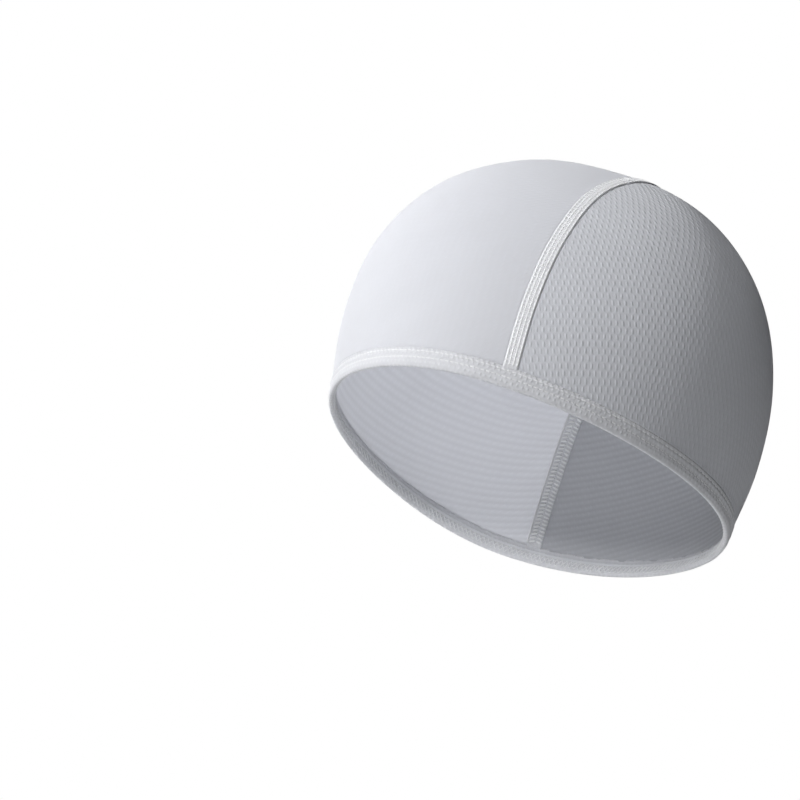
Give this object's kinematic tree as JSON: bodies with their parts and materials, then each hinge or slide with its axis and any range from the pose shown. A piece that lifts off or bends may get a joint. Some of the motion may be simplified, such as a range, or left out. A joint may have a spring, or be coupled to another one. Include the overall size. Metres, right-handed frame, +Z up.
{
  "type": "skull cap worn under a cycling helmet",
  "caption": "Close-fitting skull cap of thin white stretch knit: cloth halves joined by a flat raised seam over the top from side to side, with a turned hem round the opening.",
  "frame": {"origin": "the middle of the opening at the rim, where the head goes in", "axes": "+Z up through the crown, -Y towards the front panel's end of the long axis, +X to the side"},
  "size_m": [0.1548, 0.2059, 0.1624],
  "materials": {
    "panel_knit": "white pique mesh knit, matt with a slight sheen",
    "seam_knit": "flatlock stitching in white thread",
    "hem_knit": "turned and coverstitched white knit"
  },
  "bodies": {
    "root": {"front_panel": "panel_knit", "back_panel": "panel_knit", "crown_seam": "seam_knit", "rim_band": "hem_knit"}
  },
  "joints": []
}
